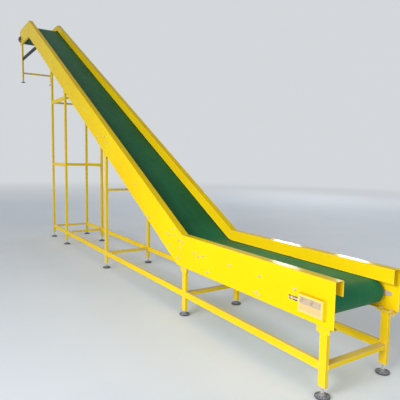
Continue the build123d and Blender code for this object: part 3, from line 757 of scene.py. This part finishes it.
def take_up_slides(bm):
    """Zinc slide inside each web that the tail shaft passes through."""
    for side in SIDES:
        place = onto((shaft_mid.x + 0.034, side * WEB_Y, shaft_mid.z), (0, -side, 0))
        slab(bm, place, (0.112, 0.020, 0.0060), 0.0040)


def panel_rivets(bm):
    inset = 0.0045
    for side in SIDES:
        for x in (panel_lo.x + inset, panel_hi.x - inset):
            for z in (panel_lo.z + inset, panel_hi.z - inset):
                dome(bm, onto((x, side * panel_hi.y, z), (0, side, 0)), 0.0022, 0.0010, 14)


screws = piece("take_up_threads", take_up_threads, SLIDE)
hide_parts("take_up_screws")
piece("take_up_lugs", take_up_lugs, TUBE)
piece("take_up_nuts", take_up_nuts, BOLT)
piece("take_up_slides", take_up_slides, SLIDE)
piece("panel_rivets", panel_rivets, BOLT)


# Drums and rollers


def drum_ends(bm, joint, bore, rim):
    """Turned rings and screw heads seen in a drum's recessed ends."""
    p = JOINT[joint]
    circle_r = 0.5 * (rim + bore + 0.016)
    for side in SIDES:
        place = onto((p.x, side * (DRUM_FACE / 2 - 0.0139), p.z), (0, side, 0))
        lathe(bm, place, [(bore + 0.016, 0.0), (bore + 0.016, 0.006), (bore + 0.0135, 0.0075),
                          (bore + 0.0012, 0.0075), (bore + 0.0010, 0.0)], 40, False)
        lathe(bm, place, [(rim - 0.0002, 0.0), (rim - 0.0002, 0.0030), (rim - 0.0035, 0.0)], 48, False)
        for a in around(6):
            spot = place @ Matrix.Translation((circle_r * cos(a), circle_r * sin(a), 0))
            hexagon(bm, spot, 0.008, 0.0035, n=18)


def roller_caps(bm, name):
    """Seal rings and rivets on both ends of a roller."""
    p = JOINT[name + "_spin"]
    lo, hi, _ = box(name)
    r = (hi.z - lo.z) / 2
    for side in SIDES:
        place = onto((p.x, side * (hi.y - 0.0005), p.z), (0, side, 0))
        lathe(bm, place, [(r - 0.0018, 0.0), (r - 0.0020, 0.0022), (r - 0.0045, 0.0030), (0.0150, 0.0030),
                          (0.0135, 0.0012), (0.0105, 0.0012), (0.0095, 0.0034), (0.0066, 0.0034),
                          (0.0064, 0.0)], 32, False)
        for a in around(8):
            spot = place @ Matrix.Translation((0.0180 * cos(a), 0.0180 * sin(a), 0.0028))
            dome(bm, spot, 0.0011, 0.0008, 8)


for drum, bore, rim in (("tail_drum", 0.010, 0.051), ("head_drum", 0.015, 0.056)):
    piece(f"{drum}_hubs", drum_ends, DRUM, drum, (f"{drum}_spin", bore, rim))
for name in ROLLER_NAMES:
    piece(f"{name}_caps", roller_caps, RUBBER, name, (name,))


# Head bearings and drive

head_p = JOINT["head_drum_spin"]
gear_lo, gear_hi, gear_mid = box("gearbox")
motor_lo, motor_hi, _ = box("motor")
drum_lo, drum_hi, _ = box("head_drum")
WORM_Y = (OUT_Y + 0.0323) + 0.048  # the worm's axis, which is the motor's too
WORM_Z = head_p.z - 0.012 - 0.033
TERMINAL_X = motor_lo.x + 0.012 + 0.084


def bearing_bolts(bm):
    """Four bolts and a grease nipple on each flange bearing."""
    reach = 0.031
    for side in SIDES:
        for dx in (-reach, reach):
            for dz in (-reach, reach):
                spot = (head_p.x + dx, side * (OUT_Y + 0.012), head_p.z + dz)
                bolt(bm, spot, (0, side, 0), 0.015, 0.006, 0.0095)
        nipple = onto((head_p.x - 0.012, side * (OUT_Y + 0.022), head_p.z + 0.028), (-0.3, 0, 1))
        lathe(bm, nipple, [(0.0032, 0.0), (0.0032, 0.004), (0.0020, 0.0045), (0.0020, 0.007), (0.0027, 0.008),
                           (0.0024, 0.0098), (0.0010, 0.0104)], 16)


def bearing_seals(bm):
    """Seal and locking collar round the shaft in each bearing."""
    for side in SIDES:
        place = onto((head_p.x, side * (OUT_Y + 0.0318), head_p.z), (0, side, 0))
        lathe(bm, place, [(0.0285, 0.0), (0.0280, 0.0012), (0.0215, 0.0012), (0.0205, 0.0)], 40, False)
        lathe(bm, place, [(0.0200, 0.0), (0.0200, 0.0035), (0.0190, 0.0042), (0.0155, 0.0042),
                          (0.0153, 0.0)], 36, False)


def shaft_ends(bm):
    """Centred end faces of the head shaft, and its key."""
    for side, y in ((-1, drum_lo.y), (1, drum_hi.y)):
        place = onto((head_p.x, y - side * 0.0002, head_p.z), (0, side, 0))
        lathe(bm, place, [(0.0146, 0.0), (0.0138, 0.0009), (0.0045, 0.0009), (0.0020, 0.0002)], 30)
    key = onto((head_p.x, drum_hi.y - 0.009, head_p.z + 0.0148), (0, 0, 1))
    slab(bm, key, (0.008, 0.014, 0.0034), 0.0006)


def gearbox_hardware(bm):
    """Cover bolts, vent and drain plugs, worm cover bolts and oil sight glass."""
    cover_r, worm_r = 0.0395, 0.022
    for a in around(8, pi / 8):
        spot = (head_p.x + cover_r * cos(a), gear_hi.y, head_p.z + cover_r * sin(a))
        bolt(bm, spot, (0, 1, 0), 0.008, 0.0035, 0.0052)
    plug = onto((head_p.x + 0.030, gear_mid.y, gear_hi.z), (0, 0, 1))
    hexagon(bm, plug, 0.017, 0.007, both=True)
    lathe(bm, plug, [(0.0050, 0.007), (0.0050, 0.010), (0.0078, 0.0108), (0.0078, 0.0140),
                     (0.0062, 0.0152)], 22)
    drain = onto((head_p.x - 0.030, gear_mid.y, gear_lo.z), (0, 0, -1))
    hexagon(bm, drain, 0.016, 0.005, both=True)
    for a in around(4, pi / 4):
        spot = (gear_lo.x - 0.0002, WORM_Y + worm_r * cos(a), WORM_Z + worm_r * sin(a))
        bolt(bm, spot, (-1, 0, 0), 0.007, 0.003, 0.0046)
    sight = onto((head_p.x - 0.034, gear_hi.y - 0.007, gear_mid.z - 0.045), (0, 1, 0))
    lathe(bm, sight, [(0.0090, 0.0), (0.0090, 0.0035), (0.0078, 0.0044), (0.0060, 0.0044), (0.0056, 0.0030),
                      (0.0010, 0.0032)], 26)


def gearbox_ribs(bm):
    """Cast ribs on the housing's top and end faces."""
    rib = (0.070, 0.0045, 0.0050)
    for k in range(5):
        x = head_p.x - 0.040 + 0.020 * k
        if abs(x - head_p.x - 0.030) > 0.012:  # clear of the vent plug
            slab(bm, onto((x, WORM_Y, gear_hi.z - 0.0004), (0, 0, 1)), rib, 0.0012)
    for k in range(4):
        z = WORM_Z + 0.026 + 0.018 * k
        if z < gear_hi.z - 0.018:
            slab(bm, onto((head_p.x - 0.056, WORM_Y, z), (-1, 0, 0)), rib, 0.0012)


def motor_fins(bm):
    """Cooling fins along the motor's body, left out under the terminal box."""
    root_r, tip_r, slant = 0.0532, 0.0612, 0.004
    x0, x1 = motor_lo.x + 0.0135, motor_hi.x - 0.0475
    axis_point = Vector((0, WORM_Y, WORM_Z))
    for a in around(26):
        up = Vector((0, sin(a), cos(a)))
        if up.z > 0.80:
            continue
        across = Vector((1, 0, 0)).cross(up)
        foot, crest = across * 0.0019, across * 0.0011
        loops = []
        for x, tip in ((x0, tip_r - slant), (x0 + slant, tip_r), (x1 - slant, tip_r), (x1, tip_r - slant)):
            base = axis_point + Vector((x, 0, 0))
            low, high = base + up * root_r, base + up * tip
            loops.append([low - foot, low + foot, high + crest, high - crest])
        rings(bm, Matrix.Identity(4), loops)


def motor_cowl(bm):
    """Fan cowl with the rings and bars of its guard."""
    place = onto((motor_hi.x, WORM_Y, WORM_Z), (1, 0, 0))
    lathe(bm, place, [(0.0622, -0.046), (0.0626, -0.043), (0.0626, -0.004), (0.0600, 0.0006),
                      (0.0540, 0.0018), (0.0530, 0.0018)], 48, False)
    for r in (0.049, 0.041, 0.033, 0.025, 0.017):
        lathe(bm, place, [(r + 0.0028, 0.0004), (r + 0.0026, 0.0018), (r - 0.0026, 0.0018),
                          (r - 0.0028, 0.0004)], 40, False)
    lathe(bm, place, [(0.010, 0.0004), (0.0095, 0.0020), (0.002, 0.0022)], 24)
    for a in around(6):
        bar = place @ Matrix.Rotation(a, 4, "Z") @ Matrix.Translation((0.031, 0, 0.0006))
        slab(bm, bar, (0.044, 0.0042, 0.0011), 0.0004)


def motor_inside(bm):
    """Dark disc behind the guard: painted shade standing in for the cowl's dark inside."""
    place = onto((motor_hi.x, WORM_Y, WORM_Z), (1, 0, 0))
    lathe(bm, place, [(0.0535, 0.0001), (0.0530, 0.0004), (0.0020, 0.0004)], 40)


def motor_hardware(bm):
    """Flange bolts, cowl screws and terminal lid screws."""
    flange_r = 0.0600
    for a in around(4, pi / 4):
        spot = (motor_lo.x + 0.0118, WORM_Y + flange_r * cos(a), WORM_Z + flange_r * sin(a))
        bolt(bm, spot, (1, 0, 0), 0.010, 0.005, 0.0062)
    for a in around(3, pi / 6):
        out = Vector((0, cos(a), sin(a)))
        dome(bm, onto(Vector((motor_hi.x - 0.036, WORM_Y, WORM_Z)) + out * 0.0624, out), 0.0036, 0.0022, 16)
    for dx in (-0.033, 0.033):
        for dy in (-0.029, 0.029):
            spot = (TERMINAL_X + dx, WORM_Y + dy, motor_hi.z + 0.0036)
            dome(bm, onto(spot, (0, 0, 1)), 0.0030, 0.0018, 16)


def terminal_lid(bm):
    place = onto((TERMINAL_X, WORM_Y, motor_hi.z - 0.0005), (0, 0, 1))
    slab(bm, place, (0.074, 0.082, 0.0042), 0.0022)


def cable_gland(bm):
    """Blanked cable gland in the side of the terminal box."""
    place = onto((TERMINAL_X, WORM_Y + 0.035, motor_hi.z - 0.017), (0, 1, 0))
    hexagon(bm, place, 0.019, 0.0055, both=True)
    lathe(bm, place, [(0.0082, 0.0050), (0.0082, 0.0085), (0.0074, 0.0098), (0.0056, 0.0100),
                      (0.0050, 0.0088)], 24)


def rating_plate(bm):
    """Blank plate on the motor's flank."""
    place = onto((motor_hi.x - 0.023, WORM_Y + 0.0624, WORM_Z + 0.004), (0, 1, 0))
    slab(bm, place, (0.030, 0.022, 0.0008), 0.0003)


def arm_bolts(bm):
    lo, hi, mid = box("torque_arm")
    for dz in (-0.017, 0.017):
        bolt(bm, (hi.x - 0.018, lo.y + 0.006, mid.z + dz), (0, 1, 0))


piece("bearing_bolts", bearing_bolts, BOLT)
piece("bearing_seals", bearing_seals, BRIGHT)
piece("head_shaft_ends", shaft_ends, BRIGHT, "head_drum")
piece("gearbox_hardware", gearbox_hardware, BRIGHT)
piece("gearbox_ribs", gearbox_ribs, GEAR)
piece("motor_fins", motor_fins, MOTOR)
piece("motor_cowl", motor_cowl, MOTOR)
piece("motor_cowl_inside", motor_inside, COWL_PAINTED_SHADE)
piece("motor_hardware", motor_hardware, BOLT)
piece("terminal_lid", terminal_lid, MOTOR)
piece("cable_gland", cable_gland, RUBBER)
piece("rating_plate", rating_plate, BLANK)
piece("torque_arm_bolts", arm_bolts, BOLT)


# Belt joint


def belt_joint(bm):
    """Skived joint of the belt: a thin zigzag line across it on the incline."""
    x, width, half, steps = -3.05, 0.392, 0.0011, 20
    t, n, _ = run_frame(x)
    base = under_line(x, 0.073)
    points = []
    for k in range(steps + 1):
        y = -width / 2 + width * k / steps
        points.append(base + t * (0.030 * (k % 2)) + Vector((0, y, 0)))
    for a, b in zip(points, points[1:]):
        across = (b - a).normalized().cross(n) * half
        quad = [a - across, b - across, b + across, a + across]
        low = [bm.verts.new(q + n * 0.00002) for q in quad]
        high = [bm.verts.new(q + n * 0.00030) for q in quad]
        bm.faces.new(high)
        for i in range(4):
            j = (i + 1) % 4
            bm.faces.new((low[i], low[j], high[j], high[i]))


piece("belt_joint_line", belt_joint, BELT, smooth=False)


# Studio

SKY = (0.66, 0.685, 0.71, 1.0)


def floor():
    """Wide pale floor that fades into the backdrop far from the object."""
    size, n, middle_x = 40.0, 20, -3.0
    bm = bmesh.new()
    steps = [-size / 2 + size * i / n for i in range(n + 1)]
    grid = [[bm.verts.new((middle_x + x, y, 0.0)) for y in steps] for x in steps]
    for a, b in zip(grid, grid[1:]):
        for j in range(n):
            bm.faces.new((a[j], b[j], b[j + 1], a[j + 1]))
    mesh = bpy.data.meshes.new("studio_floor")
    bm.to_mesh(mesh)
    bm.free()
    obj = bpy.data.objects.new("studio_floor", mesh)
    bpy.context.collection.objects.link(obj)
    s = Shade("studio_floor")
    tone = s.mix(s.span(s.noise(0.9, 5.0, 0.6), 0.3, 0.7), (0.775, 0.835, 0.910), (0.825, 0.880, 0.950))
    fine = s.bump(s.noise(30.0, 3.0), 0.001, 0.2)
    s.set(Base_Color=tone, Normal=fine, Roughness=0.70, Specular_IOR_Level=0.25)
    centred = s.node("Mapping", {"Vector": s.coord, "Location": (2.5, 0.0, 0.0)}).outputs[0]
    far = s.node("VectorMath", {0: centred}, operation="LENGTH").outputs["Value"]
    glow = s.node("Emission", {"Color": SKY}).outputs[0]
    share = s.times(s.span(far, 6.0, 15.0), s.seen())
    blend = s.node("MixShader", {0: share, 1: s.bsdf.outputs[0], 2: glow})
    s.link(blend.outputs[0], s.out.inputs[0])
    mesh.materials.append(s.mat)


def sky():
    """Soft even light all round, behind a plain pale backdrop."""
    world = bpy.data.worlds.new("studio")
    bpy.context.scene.world = world
    world.use_nodes = True
    s = Nodes(world.node_tree)
    light = s.node("Background", {"Color": (0.97, 0.98, 1.0, 1.0), "Strength": 0.33}).outputs[0]
    shown = s.node("Background", {"Color": SKY}).outputs[0]
    blend = s.node("MixShader", {0: s.seen(), 1: light, 2: shown}).outputs[0]
    s.node("OutputWorld", {"Surface": blend})


def lamp(name, kind, place, target, energy, **props):
    data = bpy.data.lights.new(name, kind)
    data.energy = energy
    for key, value in props.items():
        setattr(data, key, value)
    obj = bpy.data.objects.new(name, data)
    obj.location = place
    obj.rotation_euler = (Vector(target) - Vector(place)).to_track_quat("-Z", "Y").to_euler()
    bpy.context.collection.objects.link(obj)
    return obj


def panel_lamp(name, place, target, energy, size, size_y, **props):
    return lamp(name, "AREA", place, target, energy, shape="RECTANGLE", size=size, size_y=size_y, **props)


floor()
sky()
panel_lamp("key", (0.7, -4.4, 2.2), (-0.9, 0.0, 0.5), 39.0, 2.2, 1.4, spread=radians(100))
lamp("sky_fill", "SUN", (-3.0, -7.0, 4.0), (-3.0, 0.0, 0.5), 1.00, angle=radians(28))
lamp("back_fill", "SUN", (-4.0, 8.0, 4.0), (-3.0, 0.0, 1.0), 0.35, angle=radians(28))
panel_lamp("end_fill", (3.8, -1.2, 2.2), (0.0, 0.0, 0.4), 12.5, 2.4, 1.6, spread=radians(90))

# The room's two windows, which show in the flanges' gloss
WINDOW_WIDE = 0.84
for k, (x, z, high) in enumerate(((-9.70, 3.20, 0.74), (-6.95, 3.04, 0.50))):
    window = panel_lamp(f"window_{k}", (x, 9.0, z), (-0.5, 0.0, 0.5), 66.0 * high, WINDOW_WIDE, high)
    window.visible_camera = False

# Camera of the photograph, whose frame is square
CAMERA_PLACE = (1.2546, -1.689, 1.050)
YAW, PITCH, ROLL = radians(57.162), radians(5.489), radians(-0.899)

camera_data = bpy.data.cameras.new("photo_camera")
camera_data.sensor_width = 36.0
camera_data.sensor_fit = "HORIZONTAL"
camera_data.lens = 39.385
camera_data.clip_end = 200.0
camera = bpy.data.objects.new("photo_camera", camera_data)
right = Vector((cos(YAW), sin(YAW), 0))
back = Vector((sin(YAW) * cos(PITCH), -cos(YAW) * cos(PITCH), sin(PITCH)))
basis = Matrix((right, back.cross(right), back))
rolled = Matrix(((cos(ROLL), -sin(ROLL), 0), (sin(ROLL), cos(ROLL), 0), (0, 0, 1))) @ basis
camera.matrix_world = Matrix.Translation(CAMERA_PLACE) @ rolled.transposed().to_4x4()
bpy.context.collection.objects.link(camera)
bpy.context.scene.camera = camera
bpy.context.scene.view_settings.view_transform = "Standard"
